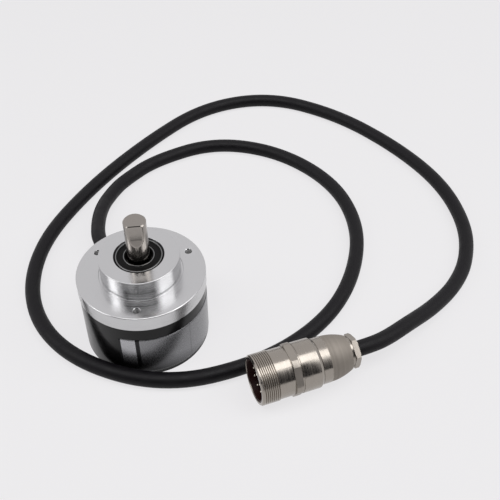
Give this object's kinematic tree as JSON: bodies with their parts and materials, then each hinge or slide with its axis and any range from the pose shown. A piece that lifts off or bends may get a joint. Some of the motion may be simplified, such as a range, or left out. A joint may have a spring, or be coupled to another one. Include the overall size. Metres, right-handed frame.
{
  "type": "incremental rotary encoder",
  "caption": "Clamping-flange incremental rotary encoder with a solid shaft and a cable that ends in a round multi-pin connector.",
  "frame": {"origin": "centre of the cover's rear face, on which the encoder stands", "axes": "+Z along the shaft towards its tip, +X through a flange hole, +Y along the cable outlet"},
  "size_m": [0.2373, 0.2209, 0.0682],
  "materials": {
    "turned_aluminium": "turned, clear anodised",
    "black_cover": "gloss black coating",
    "shaft_steel": "ground stainless steel",
    "bearing_steel": "ground bearing steel",
    "seal_rubber": "black nitrile rubber",
    "label_foil": "silver-grey foil, satin",
    "cable_jacket": "matt black cable jacket",
    "nickel_brass": "nickel plated",
    "insulator": "dark red-brown moulded insulator",
    "contact_metal": "gold plated",
    "core_insulation": "plain wire insulation",
    "board": "green solder mask",
    "chip": "matt black moulding",
    "lamp_plastic": "black moulded holder",
    "lens": "clear moulded lens",
    "mask_metal": "etched sheet",
    "disc_metal": "etched nickel sheet",
    "screw_steel": "zinc plated",
    "cage_polymer": "moulded cage"
  },
  "bodies": {
    "housing": {"board_chips": "chip", "bore_retaining_ring": "screw_steel", "cable": "cable_jacket", "cable_collet": "nickel_brass", "circuit_board": "board", "clamp_nut": "nickel_brass", "connector_backshell": "nickel_brass", "connector_barrel": "nickel_brass", "connector_cable_end": "cable_jacket", "connector_cable_seal": "seal_rubber", "connector_cores": "core_insulation", "connector_insert": "insulator", "connector_pins": "contact_metal", "connector_shell": "nickel_brass", "cover": "black_cover", "cover_screws": "screw_steel", "cover_seal": "seal_rubber", "encoder_cable_end": "cable_jacket", "encoder_cores": "core_insulation", "flange": "turned_aluminium", "front_bearing_outer_ring": "bearing_steel", "front_bearing_seals": "seal_rubber", "gland_body": "nickel_brass", "gland_lock_nut": "nickel_brass", "gland_nut": "nickel_brass", "gland_o_ring": "seal_rubber", "gland_seal": "seal_rubber", "lamp_die": "chip", "lamp_housing": "lamp_plastic", "lamp_leads": "screw_steel", "lamp_lens": "lens", "lower_standoffs": "nickel_brass", "mask_holder": "lamp_plastic", "preload_washer": "screw_steel", "rear_bearing_outer_ring": "bearing_steel", "rear_bearing_seals": "seal_rubber", "scanning_mask": "mask_metal", "sensor_chip": "chip", "type_label": "label_foil", "upper_standoffs": "nickel_brass", "wire_header": "lamp_plastic"},
    "rotor": {"shaft": "shaft_steel", "front_bearing_inner_ring": "bearing_steel", "rear_bearing_inner_ring": "bearing_steel", "shaft_retaining_ring": "screw_steel", "disc_hub": "turned_aluminium", "hub_screws": "screw_steel", "code_disc": "disc_metal", "disc_clamp": "turned_aluminium", "clamp_screws": "screw_steel"},
    "front_ball_cage": {"front_bearing_balls": "bearing_steel", "front_bearing_cage": "cage_polymer"},
    "rear_ball_cage": {"rear_bearing_balls": "bearing_steel", "rear_bearing_cage": "cage_polymer"}
  },
  "joints": [
    {"name": "shaft_spin", "type": "hinge", "parent": "housing", "child": "rotor", "pos_m": [0, 0, 0.0482], "axis": [0, 0, 1], "continuous": true},
    {"name": "front_cage_turn", "type": "hinge", "parent": "housing", "child": "front_ball_cage", "pos_m": [0, 0, 0.0455], "axis": [0, 0, 1], "continuous": true},
    {"name": "rear_cage_turn", "type": "hinge", "parent": "housing", "child": "rear_ball_cage", "pos_m": [0, 0, 0.0303], "axis": [0, 0, 1], "continuous": true}
  ],
  "couplings": [
    {"joint": "front_cage_turn", "follows": "shaft_spin", "ratio": 0.42788},
    {"joint": "rear_cage_turn", "follows": "shaft_spin", "ratio": 0.42788}
  ]
}
